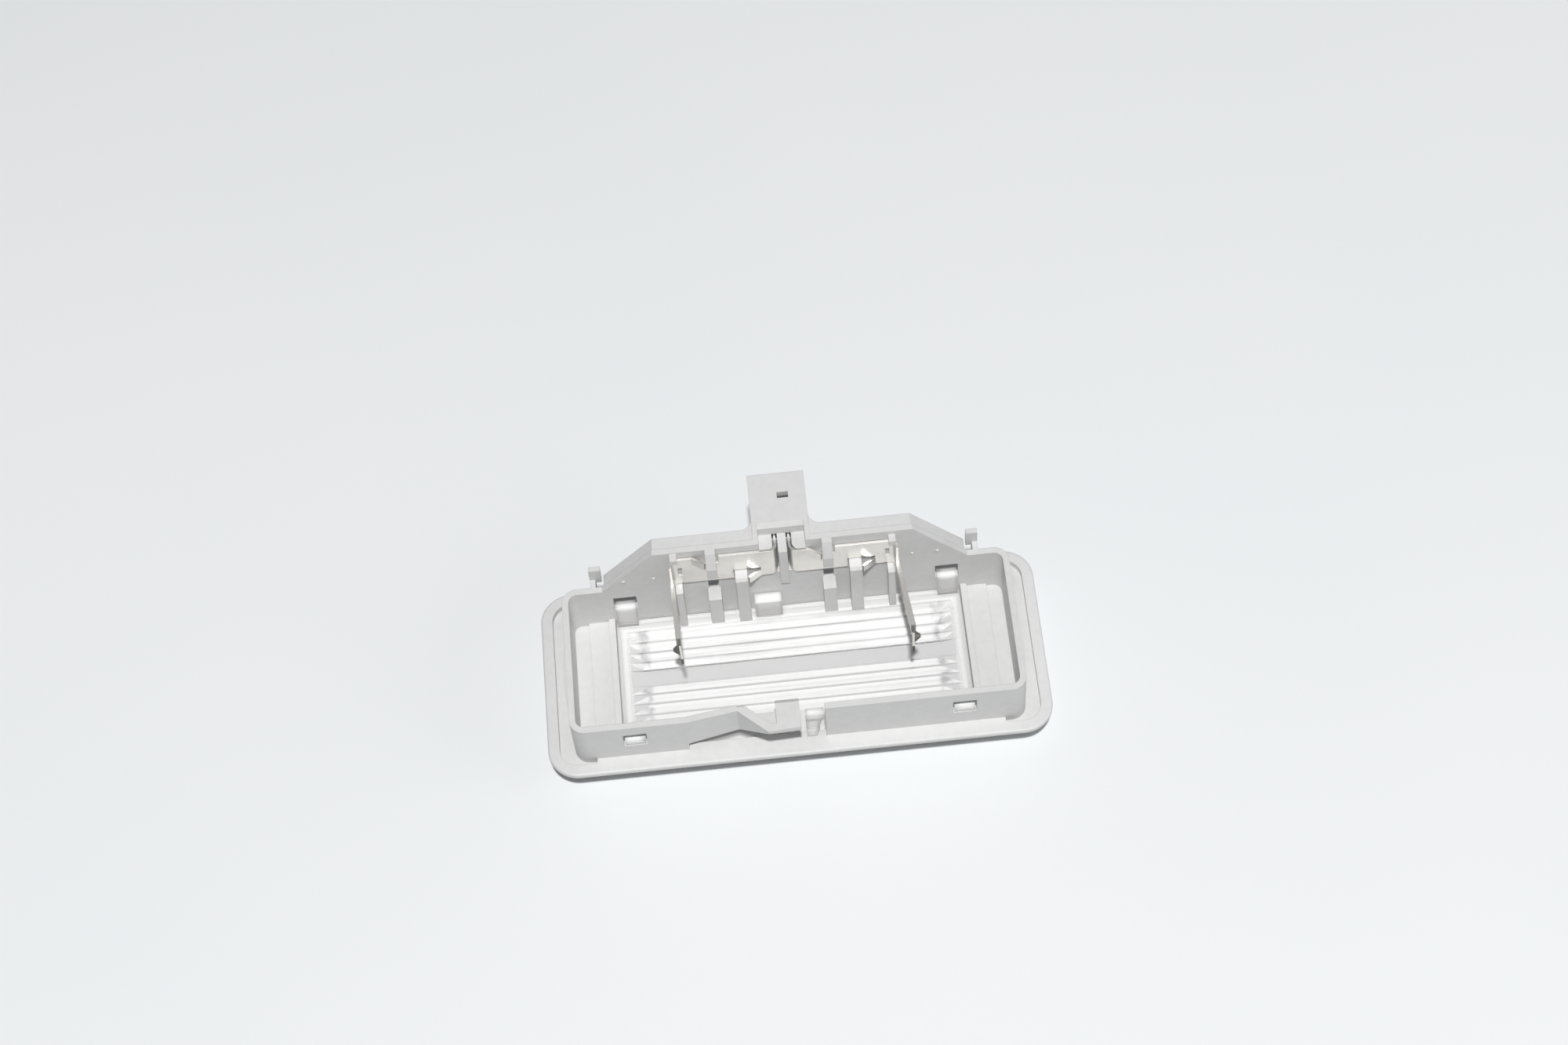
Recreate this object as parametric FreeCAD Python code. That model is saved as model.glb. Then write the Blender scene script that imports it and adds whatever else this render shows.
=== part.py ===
import FreeCAD, Part
import math
import os

# Car interior light, lying on its bezel with its open back upwards.
# Millimetres. X runs along the bezel, Y towards the plug socket and Z up, away from the lit face.
# The origin is the middle of the bezel's outline, on the lit front of the lens.
# Features are drawn with the ledge that carries the lens at zero, then lifted by FRONT_DEPTH.

Vector = FreeCAD.Vector

# Bezel
BEZEL_LENGTH = 86.0
BEZEL_WIDTH = 35.5
BEZEL_THICKNESS = 3.0
BEZEL_CORNER = 5.3
BEZEL_FRONT_ROUND = 0.8
BEZEL_BACK_ROUND = 0.4
FRONT_DEPTH = 4.2
FRONT_INSET = 3.3
RIM_THICKNESS = 0.9
RIM_OVERHANG = 0.8
RIM_MARGIN = 2.0
MOAT_FLOOR = 1.7
MOAT_REACH = 34.7

# Box that stands on the bezel
WALL = 1.1
BOX_LENGTH = 76.8
BOX_WIDTH = 27.7
BOX_OFFSET_Y = -0.95
BOX_CORNER = 2.6
BOX_TOP = 12.7
END_FLOOR = 2.4
PAD_LENGTH = 13.8
PAD_OFFSET_Y = -3.2
PAD_BOW = 0.5
PAD_TOP = 11.2

# Lens, and the frame that takes it
LENS_LENGTH = 59.8
LENS_THICKNESS = 2.4
LENS_PLAY = 0.2
LEDGE = 0.6
SILL_WIDTH = 1.1
SILL_TOP = 3.2
PLAIN_BAND = 3.0
FLUTE_COUNT = 4
FLUTE_WIDTH = 1.65
FLUTE_GROWTH = 0.2
FLUTE_DEPTH = 0.7
FLUTE_MARGIN = 1.5
FLUTE_RUNOUT = 3.2
LATCH_X = 27.8
LATCH_WIDTH = 3.5
LATCH_THICKNESS = 1.1
LATCH_TOP = 8.3
LATCH_NOSE = 1.7
NOSE_REACH = 1.0
WINDOW_WIDTH = 4.0
WINDOW_BOTTOM = 6.4
WINDOW_TOP = 10.2
BLOCK_X = -3.3
BLOCK_WIDTH = 4.6
BLOCK_DEPTH = 2.0
BLOCK_TOP = 7.3
TAB_LEFT = 1.0
TAB_WIDTH = 3.1
TAB_FOOT_WIDTH = 1.7
TAB_FOOT_HEIGHT = 2.5
TAB_HEAD_HEIGHT = 2.1
TAB_RECESS = 0.5
TAB_TOP = 10.8
TAB_STEM = 1.1

# Spring latch in the front wall
ARM_ROOT_X = -19.0
ARM_LENGTH = 8.7
ARM_LEAN = 1.2
SLIT_ROOT = 2.0
SLIT_END = 3.1
WEDGE_TIP_X = -5.4
WEDGE_REACH = 3.3
WEDGE_EDGE = 0.8
WEDGE_WALL = 1.5
WEDGE_RIGHT_X = 0.1
POCKET_FLOOR = 9.0
FINGER_WIDTH = 4.0
FINGER_INSET = 1.85
FINGER_THICKNESS = 2.0
GAP_RIGHT_X = 4.3

# Hood over the rear wall
HOOD_TOP = 23.3
HOOD_TOP_HALF = 22.0
HOOD_FOOT_HALF = 31.4
HOOD_DEPTH = 3.35
LIP_THICKNESS = 1.3
LIP_STEP = 0.3
LUG_X = 32.9
LUG_STEM = 0.95
LUG_HEAD = 2.0
LUG_RISE = 2.9
LUG_THICKNESS = 0.9
LUG_REACH = 2.4
LUG_DEPTH = 6.0

# Plug socket
SOCKET_WIDTH = 9.7
SOCKET_LENGTH = 13.8
SOCKET_HEIGHT = 7.6
SOCKET_WALL = 1.0
SOCKET_ROOF = 1.3
SOCKET_FILLET = 2.0
PARTITION = 4.6
POCKET_WIDTH = 7.9
POCKET_DEPTH = 2.6
POCKET_LIP = 0.7
KEY_WINDOW_WIDTH = 1.9
KEY_WINDOW_LENGTH = 1.15
KEY_WINDOW_OFFSET = 0.9
KEY_WINDOW_FROM_MOUTH = 3.85

# Posts, hooks and ribs that hold the contacts
HOOK_WIDTH = 1.75
HOOK_REACH = 2.2
HOOK_GAP = 1.0
HOOK_CROWN = 0.9
HOOK_SLOPE = 3.3
HOOK_DROP = 6.0
HOOK_NECK = 1.1
HOOK_HOLE_DROP = 3.5
LOWER_POST_WIDTH = 2.2
LOWER_POST_DEPTH = 2.5
STOP_POST_WIDTH = 2.1
STOP_POST_DEPTH = 2.65
STOP_POST_RISE = 2.4
STOP_POST_CHAMFER = 0.5
END_POST_X = 18.15
END_POST_WIDTH = 1.2
END_POST_DEPTH = 2.5
NIB_X = 18.5
NIB_WIDTH = 1.2
NIB_DEPTH = 1.45
NIB_HEIGHT = 1.2
CENTRE_RIB_WIDTH = 1.5
CENTRE_RIB_PROUD = 0.4
CENTRE_RIB_DROP = 3.8
POST_PLAY = 0.2

# Contacts
SHEET = 0.4
SHEET_PLAY = 0.1
BEND_RADIUS = 1.2
BLADE_PITCH = 2.4
BLADE_HEIGHT = 2.8
BLADE_RISE = 0.9
BLADE_RECESS = 4.7
SLOT_WIDTH = 0.9
STRIP_DROP = 9.3
LEFT_STRIP_INSET = 1.7
RIGHT_STRIP_INSET = 2.4
ARM_X = 19.2
ROOT_RETURN = 0.5
ARM_HEIGHT = 2.4
ARM_HEM = 0.8
LEAF_RISE = 1.5
LEAF_FALL = 2.2
LEAF_LEAN = 0.4
LEAF_CROP = 0.8
CUP_RADIUS = 1.15
CUP_TIP = 0.3
CUP_DEPTH = 1.2
LANCE_LENGTH = 2.4
LANCE_SPREAD = 1.4
LANCE_HEIGHT = 1.8
BEND_HOLE = 0.7
BEND_HOLE_HEIGHT = 2.2
LEFT_HOOK_X = -12.25
LEFT_STOP_X = -7.4
RIGHT_HOOK_X = 7.5
RIGHT_STOP_X = 12.1
LEFT_LEAF_Y = -2.2
RIGHT_LEAF_Y = -4.2
LEFT_SPLAY = -0.25
RIGHT_SPLAY = 1.35

# Planes that several features share
FRONT_OUT = BOX_OFFSET_Y - BOX_WIDTH / 2
FRONT_IN = FRONT_OUT + WALL
REAR_OUT = BOX_OFFSET_Y + BOX_WIDTH / 2
REAR_IN = REAR_OUT - WALL
SIDE_OUT = BOX_LENGTH / 2
OPENING_HALF = LENS_LENGTH / 2 + LENS_PLAY
HOOD_BACK = REAR_IN + HOOD_DEPTH
SOCKET_MOUTH = REAR_IN + SOCKET_LENGTH
SOCKET_BOTTOM = HOOD_TOP - SOCKET_HEIGHT
POCKET_BOTTOM = HOOD_TOP - POCKET_DEPTH
POST_FOOT = LENS_THICKNESS + POST_PLAY
STRIP_Y = REAR_IN - SHEET_PLAY - SHEET / 2
STRIP_BOTTOM = HOOD_TOP - STRIP_DROP
LEFT_STRIP_TOP = HOOD_TOP - LEFT_STRIP_INSET
RIGHT_STRIP_TOP = HOOD_TOP - RIGHT_STRIP_INSET
STOP_POST_TOP = STRIP_BOTTOM + STOP_POST_RISE
HOOK_HOLE_BOTTOM = STRIP_BOTTOM - HOOK_HOLE_DROP
BLADE_BOTTOM = SOCKET_BOTTOM + SOCKET_WALL + BLADE_RISE


def block(x0, x1, y0, y1, z0, z1):
    """Box between two values on each axis."""
    return Part.makeBox(x1 - x0, y1 - y0, z1 - z0, Vector(x0, y0, z0))


def polygon(points):
    """Flat face bounded by a closed chain of points."""
    return Part.Face(Part.makePolygon(points + points[:1]))


def plan_prism(outline, z0, z1):
    """Outline in plan (X, Y) raised from z0 to z1."""
    return polygon([Vector(x, y, z0) for x, y in outline]).extrude(Vector(0, 0, z1 - z0))


def side_prism(outline, x0, x1):
    """Outline in side view (Y, Z) carried along X."""
    return polygon([Vector(x0, y, z) for y, z in outline]).extrude(Vector(x1 - x0, 0, 0))


def front_prism(outline, y0, y1):
    """Outline in front view (X, Z) carried along Y."""
    return polygon([Vector(x, y0, z) for x, z in outline]).extrude(Vector(0, y1 - y0, 0))


def rounded_plate(length, width, corner, z0, z1, centre_y=0.0):
    """Rectangle with round corners, raised from z0 to z1."""
    plate = block(-length / 2, length / 2, centre_y - width / 2, centre_y + width / 2, z0, z1)
    upright = [edge for edge in plate.Edges if abs(edge.tangentAt(edge.FirstParameter).z) > 0.5]
    return plate.makeFillet(corner, upright)


def edges_at_height(shape, z):
    """Edges that lie in one level plane."""
    level = 1e-4
    return [e for e in shape.Edges if abs(e.BoundBox.ZMin - z) < level and abs(e.BoundBox.ZMax - z) < level]


def both_ends(shape):
    """A feature and its mirror image at the other end of the lamp."""
    return [shape, shape.mirror(Vector(0, 0, 0), Vector(1, 0, 0))]


def around(x, width):
    """Two limits that centre a width on x."""
    return x - width / 2, x + width / 2


def sheet_along(path, radius, thickness, z0, z1):
    """Sheet on edge that follows a path in plan, with a round bend at each inner point."""
    points = [Vector(x, y, z0) for x, y in path]
    sides = {1: [], -1: []}
    heading = (points[1] - points[0]).normalize()
    for side in sides:
        normal = Vector(-heading.y, heading.x, 0) * side
        sides[side].append((points[0] + normal * (thickness / 2), None))
    for before, corner, after in zip(points, points[1:], points[2:]):
        incoming = (corner - before).normalize()
        outgoing = (after - corner).normalize()
        turn = incoming.getAngle(outgoing)
        reach = radius * math.tan(turn / 2)
        towards = (outgoing - incoming).normalize()
        centre = corner + towards * (radius / math.cos(turn / 2))
        hand = 1 if incoming.cross(outgoing).z > 0 else -1
        for side in sides:
            offset = radius - side * hand * thickness / 2
            start = centre + (corner - incoming * reach - centre) * (offset / radius)
            middle = centre - towards * offset
            end = centre + (corner + outgoing * reach - centre) * (offset / radius)
            sides[side].append((start, None))
            sides[side].append((end, middle))
    heading = (points[-1] - points[-2]).normalize()
    for side in sides:
        normal = Vector(-heading.y, heading.x, 0) * side
        sides[side].append((points[-1] + normal * (thickness / 2), None))
    edges = []
    for chain in sides.values():
        for (first, _), (last, middle) in zip(chain, chain[1:]):
            if middle is None:
                edges.append(Part.makeLine(first, last))
            else:
                edges.append(Part.Arc(first, middle, last).toShape())
    for end in (0, -1):
        edges.append(Part.makeLine(sides[1][end][0], sides[-1][end][0]))
    outline = Part.Wire(Part.__sortEdges__(edges))
    return Part.Face(outline).extrude(Vector(0, 0, z1 - z0))


def bezel_outline(inset, z):
    """The bezel's outline at one height, drawn in by an inset."""
    plate = rounded_plate(
        BEZEL_LENGTH - 2 * inset, BEZEL_WIDTH - 2 * inset, BEZEL_CORNER - inset, z, z + BEZEL_THICKNESS
    )
    return min(plate.Faces, key=lambda face: face.CenterOfMass.z).OuterWire


def front_window(play):
    """Window of the front frame below the lens, less a play all round."""
    half = OPENING_HALF - LEDGE - play
    front = FRONT_IN + LEDGE + play
    rear = REAR_IN - LEDGE - play
    return block(-half, half, front, rear, -FRONT_DEPTH, 0)


def bezel():
    """Thin rim over a tapered front frame, with end moats, a seat for the lens and its window."""
    rim_bottom = BEZEL_THICKNESS - RIM_THICKNESS
    rim = rounded_plate(BEZEL_LENGTH, BEZEL_WIDTH, BEZEL_CORNER, rim_bottom, BEZEL_THICKNESS)
    rim = rim.makeFillet(BEZEL_BACK_ROUND, edges_at_height(rim, BEZEL_THICKNESS))
    outlines = [bezel_outline(FRONT_INSET, -FRONT_DEPTH), bezel_outline(RIM_OVERHANG, rim_bottom)]
    frame = Part.makeLoft(outlines, True, True)
    frame = frame.makeFillet(BEZEL_FRONT_ROUND, edges_at_height(frame, -FRONT_DEPTH))
    moat = rounded_plate(
        BEZEL_LENGTH - 2 * RIM_MARGIN,
        BEZEL_WIDTH - 2 * RIM_MARGIN,
        BEZEL_CORNER - RIM_MARGIN,
        MOAT_FLOOR,
        BEZEL_THICKNESS,
    )
    moat = moat.cut(block(-MOAT_REACH, MOAT_REACH, -BEZEL_WIDTH, BEZEL_WIDTH, 0, BEZEL_THICKNESS))
    inside = box_plan(WALL, END_FLOOR, BEZEL_THICKNESS)
    seat = block(-OPENING_HALF, OPENING_HALF, FRONT_IN, REAR_IN, 0, BEZEL_THICKNESS)
    return rim.fuse(frame).cut([moat, inside, seat, front_window(0)])


def box_plan(inset, z0, z1):
    """The box's outline in plan, drawn in by an inset."""
    return rounded_plate(
        BOX_LENGTH - 2 * inset, BOX_WIDTH - 2 * inset, BOX_CORNER - inset, z0, z1, BOX_OFFSET_Y
    )


def box_walls():
    """Four thin walls, open at the latch, with windows for the lens latches."""
    walls = box_plan(0, MOAT_FLOOR, BOX_TOP).cut(box_plan(WALL, MOAT_FLOOR, BOX_TOP))
    cuts = [block(ARM_ROOT_X, GAP_RIGHT_X, FRONT_OUT, FRONT_IN, BEZEL_THICKNESS, BOX_TOP)]
    for x in (-LATCH_X, LATCH_X):
        left, right = around(x, WINDOW_WIDTH)
        cuts.append(block(left, right, FRONT_OUT, FRONT_IN, WINDOW_BOTTOM, WINDOW_TOP))
    return walls.cut(cuts)


def side_pads():
    """Shallow bowed pads outside the end walls that centre the box in its cut-out."""
    front, rear = around(PAD_OFFSET_Y, PAD_LENGTH)
    ends = [Vector(SIDE_OUT, front, MOAT_FLOOR), Vector(SIDE_OUT, rear, MOAT_FLOOR)]
    crown = Vector(SIDE_OUT + PAD_BOW, PAD_OFFSET_Y, MOAT_FLOOR)
    outline = Part.Wire([Part.Arc(ends[0], crown, ends[1]).toShape(), Part.makeLine(ends[1], ends[0])])
    return both_ends(Part.Face(outline).extrude(Vector(0, 0, PAD_TOP - MOAT_FLOOR)))


def lens_sills():
    """Raised strips of the end floors, beside the ends of the lens."""
    sill = block(OPENING_HALF, OPENING_HALF + SILL_WIDTH, FRONT_IN, REAR_IN, END_FLOOR, SILL_TOP)
    return both_ends(sill)


def spring_latch():
    """Cantilever cut free of the front wall, with a hollow wedge and a finger rest."""
    arm_end = ARM_ROOT_X + ARM_LENGTH
    outer_end = FRONT_OUT + ARM_LEAN
    inner_end = FRONT_IN + ARM_LEAN
    arm_plan = [
        (ARM_ROOT_X, FRONT_OUT),
        (arm_end, outer_end),
        (arm_end, inner_end),
        (ARM_ROOT_X, FRONT_IN),
    ]
    root_z = BEZEL_THICKNESS + SLIT_ROOT
    end_z = BEZEL_THICKNESS + SLIT_END
    arm_front = [(ARM_ROOT_X, root_z), (arm_end, end_z), (arm_end, BOX_TOP), (ARM_ROOT_X, BOX_TOP)]
    arm = plan_prism(arm_plan, BEZEL_THICKNESS, BOX_TOP)
    arm = arm.common(front_prism(arm_front, FRONT_OUT, inner_end))

    tip_y = FRONT_OUT - WEDGE_REACH
    finger_left = WEDGE_RIGHT_X - FINGER_WIDTH
    finger_end = FRONT_IN + FINGER_INSET
    wedge_plan = [
        (arm_end, outer_end),
        (WEDGE_TIP_X, tip_y),
        (WEDGE_RIGHT_X, tip_y + WEDGE_EDGE / 2),
        (WEDGE_RIGHT_X, finger_end),
        (finger_left, finger_end),
        (finger_left, inner_end),
        (arm_end, inner_end),
    ]
    edge_z = BOX_TOP - WEDGE_EDGE
    finger_z = BOX_TOP - FINGER_THICKNESS
    underside = [
        (tip_y, BOX_TOP),
        (tip_y, edge_z),
        (outer_end, end_z),
        (inner_end, end_z),
        (inner_end, finger_z),
        (finger_end, finger_z),
        (finger_end, BOX_TOP - FINGER_THICKNESS / 2),
        (finger_end - FINGER_THICKNESS / 2, BOX_TOP),
    ]
    wedge = plan_prism(wedge_plan, BEZEL_THICKNESS, BOX_TOP)
    wedge = wedge.common(side_prism(underside, arm_end, WEDGE_RIGHT_X))

    run = WEDGE_TIP_X - arm_end
    fall = tip_y - outer_end
    shift = WEDGE_WALL * math.hypot(run, fall) / -fall
    pocket_front = tip_y + WEDGE_WALL
    pocket_plan = [
        (arm_end + shift + run * (inner_end - outer_end) / fall, inner_end),
        (arm_end + shift + run * (pocket_front - outer_end) / fall, pocket_front),
        (finger_left, pocket_front),
        (finger_left, inner_end),
    ]
    pocket = plan_prism(pocket_plan, POCKET_FLOOR, BOX_TOP)
    return arm.fuse(wedge.cut(pocket))


def hood_outline(inset):
    """Trapezium above the rear wall, its top and slanting sides drawn in by an inset."""
    run = HOOD_FOOT_HALF - HOOD_TOP_HALF
    rise = HOOD_TOP - BOX_TOP
    slant = math.hypot(run, rise)
    foot = HOOD_FOOT_HALF - inset * slant / rise
    top = HOOD_TOP_HALF - inset * (slant - run) / rise
    height = HOOD_TOP - inset
    return [(-foot, BOX_TOP), (-top, height), (top, height), (foot, BOX_TOP)]


def hood():
    """Raised part of the rear wall, with a lip along its edge behind."""
    wall = front_prism(hood_outline(0), REAR_IN, REAR_OUT)
    lip = front_prism(hood_outline(LIP_STEP), REAR_OUT, HOOD_BACK)
    hollow = front_prism(hood_outline(LIP_STEP + LIP_THICKNESS), REAR_OUT, HOOD_BACK)
    return wall.fuse(lip.cut(hollow))


def rear_lugs():
    """Small hooks on ribs behind the feet of the hood."""
    stem_left, stem_right = around(LUG_X, LUG_STEM)
    back = REAR_OUT + LUG_REACH
    stem = block(stem_left, stem_right, REAR_OUT, back, BOX_TOP - LUG_DEPTH, BOX_TOP)
    head_left = stem_right - LUG_HEAD
    head_bottom = BOX_TOP - LUG_THICKNESS
    head = block(head_left, stem_right, back - LUG_THICKNESS, back, head_bottom, BOX_TOP + LUG_RISE)
    return both_ends(stem.fuse(head))


def plug_socket():
    """Socket shell behind the hood, with a partition that the blades pass through."""
    left, right = around(0, SOCKET_WIDTH)
    shell = block(left, right, REAR_IN, SOCKET_MOUTH, SOCKET_BOTTOM, HOOD_TOP)
    flank = Vector(right, HOOD_BACK, SOCKET_BOTTOM)
    fillet = block(
        flank.x, flank.x + SOCKET_FILLET, HOOD_BACK - LIP_STEP, flank.y + SOCKET_FILLET,
        HOOD_TOP - LIP_STEP - LIP_THICKNESS, HOOD_TOP - LIP_STEP,
    )
    rounding = Part.makeCylinder(
        SOCKET_FILLET, SOCKET_HEIGHT, flank + Vector(SOCKET_FILLET, SOCKET_FILLET, 0)
    )
    return shell.fuse(both_ends(fillet.cut(rounding)))


def socket_cuts():
    """Cavity, key window, blade pocket and blade slots of the plug socket."""
    half = SOCKET_WIDTH / 2 - SOCKET_WALL
    cavity_front = REAR_IN + PARTITION
    cavity_top = HOOD_TOP - SOCKET_ROOF
    cavity_bottom = SOCKET_BOTTOM + SOCKET_WALL
    cuts = [block(-half, half, cavity_front, SOCKET_MOUTH, cavity_bottom, cavity_top)]

    key_left, key_right = around(KEY_WINDOW_OFFSET, KEY_WINDOW_WIDTH)
    key_rear = SOCKET_MOUTH - KEY_WINDOW_FROM_MOUTH
    cuts.append(block(key_left, key_right, key_rear - KEY_WINDOW_LENGTH, key_rear, cavity_top, HOOD_TOP))

    pocket_left, pocket_right = around(0, POCKET_WIDTH)
    profile = [
        (REAR_IN, POCKET_BOTTOM),
        (HOOD_BACK, POCKET_BOTTOM),
        (HOOD_BACK, HOOD_TOP - POCKET_LIP),
        (HOOD_BACK + POCKET_LIP, HOOD_TOP),
        (REAR_IN, HOOD_TOP),
    ]
    cuts.append(side_prism(profile, pocket_left, pocket_right))

    slot_bottom = STRIP_BOTTOM - POST_PLAY
    for side in (-1, 1):
        slot_left, slot_right = around(side * BLADE_PITCH / 2, SLOT_WIDTH)
        cuts.append(block(slot_left, slot_right, REAR_IN, cavity_front, slot_bottom, POCKET_BOTTOM))
        corner = slot_left if side < 0 else slot_right
        round_corner = block(
            min(corner, corner + side * BEND_RADIUS), max(corner, corner + side * BEND_RADIUS),
            REAR_IN, REAR_IN + BEND_RADIUS, slot_bottom, POCKET_BOTTOM,
        )
        keep = Part.makeCylinder(
            BEND_RADIUS, POCKET_BOTTOM - slot_bottom,
            Vector(corner + side * BEND_RADIUS, REAR_IN + BEND_RADIUS, slot_bottom),
        )
        cuts.append(round_corner.cut(keep))
    return cuts


def contact_hook(x):
    """Hook that comes down from the hood's edge in front of a contact strip."""
    front = REAR_IN - HOOK_REACH
    back = REAR_IN - HOOK_GAP
    neck = HOOD_TOP - HOOK_NECK
    profile = [
        (REAR_IN, HOOD_TOP),
        (REAR_IN - HOOK_CROWN, HOOD_TOP),
        (front, HOOD_TOP - HOOK_SLOPE),
        (front, HOOD_TOP - HOOK_DROP),
        (back, HOOD_TOP - HOOK_DROP),
        (back, neck),
        (REAR_IN, neck),
    ]
    return side_prism(profile, *around(x, HOOK_WIDTH))


def lower_post(x):
    """Flat-topped post below a hook."""
    left, right = around(x, LOWER_POST_WIDTH)
    return block(left, right, REAR_IN - LOWER_POST_DEPTH, REAR_IN, POST_FOOT, HOOK_HOLE_BOTTOM)


def hook_hole(x):
    """Hole through the rear wall behind a hook."""
    top = HOOD_TOP - LIP_THICKNESS - HOOK_NECK
    return block(*around(x, HOOK_WIDTH), REAR_IN, REAR_OUT, HOOK_HOLE_BOTTOM, top)


def stop_post(x):
    """Tall post that stands in the notch of a contact strip."""
    front = REAR_IN - STOP_POST_DEPTH
    profile = [
        (REAR_IN, POST_FOOT),
        (front, POST_FOOT),
        (front, STOP_POST_TOP - STOP_POST_CHAMFER),
        (front + STOP_POST_CHAMFER, STOP_POST_TOP),
        (REAR_IN, STOP_POST_TOP),
    ]
    return side_prism(profile, *around(x, STOP_POST_WIDTH))


def end_post(side):
    """Post under the outer end of a contact strip."""
    left, right = around(side * END_POST_X, END_POST_WIDTH)
    return block(left, right, REAR_IN - END_POST_DEPTH, REAR_IN, POST_FOOT, STRIP_BOTTOM - POST_PLAY)


def end_nib(side, strip_top):
    """Nib over the outer end of a contact strip."""
    bottom = strip_top + POST_PLAY
    left, right = around(side * NIB_X, NIB_WIDTH)
    return block(left, right, REAR_IN - NIB_DEPTH, REAR_IN, bottom, bottom + NIB_HEIGHT)


def centre_rib():
    """Rib between the two contacts."""
    bottom = STRIP_BOTTOM - CENTRE_RIB_DROP
    return block(*around(0, CENTRE_RIB_WIDTH), REAR_IN - CENTRE_RIB_PROUD, REAR_IN, bottom, POCKET_BOTTOM)


def housing():
    """The moulded body: bezel, box, hood, socket, latch and posts in one piece."""
    body = bezel().fuse([box_walls(), spring_latch(), hood(), plug_socket(), *side_pads(), *lens_sills()])
    cuts = socket_cuts()
    for x in (LEFT_HOOK_X, RIGHT_HOOK_X):
        cuts.append(hook_hole(x))
    for x in (-LATCH_X, LATCH_X):
        cuts.append(block(*around(x, WINDOW_WIDTH), REAR_IN, REAR_OUT, WINDOW_BOTTOM, WINDOW_TOP))
    body = body.cut(cuts)
    holders = [centre_rib(), *rear_lugs()]
    for hook_x, stop_x in ((LEFT_HOOK_X, LEFT_STOP_X), (RIGHT_HOOK_X, RIGHT_STOP_X)):
        holders += [contact_hook(hook_x), lower_post(hook_x), stop_post(stop_x)]
    for side, strip_top in ((-1, LEFT_STRIP_TOP), (1, RIGHT_STRIP_TOP)):
        holders += [end_post(side), end_nib(side, strip_top)]
    return body.fuse(holders).removeSplitter()


def flute_grooves():
    """Rows of prisms along the lens, wider outwards from its plain band and sloped at both ends."""
    half = LENS_LENGTH / 2 - FLUTE_MARGIN
    floor_half = half - FLUTE_RUNOUT
    floor = LENS_THICKNESS - FLUTE_DEPTH
    ends = [(-half, LENS_THICKNESS), (half, LENS_THICKNESS), (floor_half, floor), (-floor_half, floor)]
    envelope = front_prism(ends, FRONT_IN, REAR_IN)
    grooves = []
    for side in (-1, 1):
        near = side * PLAIN_BAND / 2
        for step in range(FLUTE_COUNT):
            far = near + side * (FLUTE_WIDTH + step * FLUTE_GROWTH)
            outline = [(near, LENS_THICKNESS), (far, LENS_THICKNESS), (near, floor)]
            grooves.append(side_prism(outline, -half, half).common(envelope))
            near = far
    return grooves


def lens_latch(x, inner, outward):
    """Upright tongue along a wall, with a nose that reaches into the wall's window."""
    face = inner - outward * LENS_PLAY
    back = face - outward * LATCH_THICKNESS
    nose_bottom = WINDOW_BOTTOM + LENS_PLAY
    nose_end = inner + outward * NOSE_REACH
    profile = [
        (back, 0),
        (face, 0),
        (face, nose_bottom),
        (nose_end, nose_bottom),
        (nose_end, nose_bottom + LATCH_NOSE / 2),
        (face, LATCH_TOP),
        (back, LATCH_TOP),
    ]
    return side_prism(profile, *around(x, LATCH_WIDTH))


def lens_tab():
    """Stepped tab in the gap of the front wall, hooked over the bezel's back."""
    face = FRONT_IN + LENS_PLAY
    back = face + TAB_STEM
    hook_bottom = BEZEL_THICKNESS + LENS_PLAY
    foot_top = hook_bottom + TAB_FOOT_HEIGHT
    head_bottom = TAB_TOP - TAB_HEAD_HEIGHT
    recess = FRONT_OUT + TAB_RECESS
    profile = [
        (back, 0),
        (face, 0),
        (face, hook_bottom),
        (FRONT_OUT, hook_bottom),
        (FRONT_OUT, foot_top),
        (recess, foot_top),
        (recess, head_bottom),
        (FRONT_OUT, head_bottom),
        (FRONT_OUT, TAB_TOP),
        (face, TAB_TOP),
        (back, LATCH_TOP),
    ]
    foot_right = TAB_LEFT + TAB_FOOT_WIDTH
    right = TAB_LEFT + TAB_WIDTH
    outline = [
        (TAB_LEFT, 0),
        (foot_right, 0),
        (foot_right, hook_bottom),
        (right, TAB_TOP - TAB_STEM),
        (right, TAB_TOP),
        (TAB_LEFT, TAB_TOP),
    ]
    return side_prism(profile, TAB_LEFT, right).common(front_prism(outline, FRONT_OUT, back))


def lens():
    """Clear lens that fills the front window: fluted inside, with four latches, a block and a tab."""
    half = LENS_LENGTH / 2
    plate = block(-half, half, FRONT_IN + LENS_PLAY, REAR_IN - LENS_PLAY, 0, LENS_THICKNESS)
    plate = plate.cut(flute_grooves())
    rear = REAR_IN - LENS_PLAY
    pieces = [front_window(LENS_PLAY), lens_tab()]
    pieces.append(block(*around(BLOCK_X, BLOCK_WIDTH), rear - BLOCK_DEPTH, rear, 0, BLOCK_TOP))
    for x in (-LATCH_X, LATCH_X):
        pieces += [lens_latch(x, FRONT_IN, -1), lens_latch(x, REAR_IN, 1)]
    return plate.fuse(pieces).removeSplitter()


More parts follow.
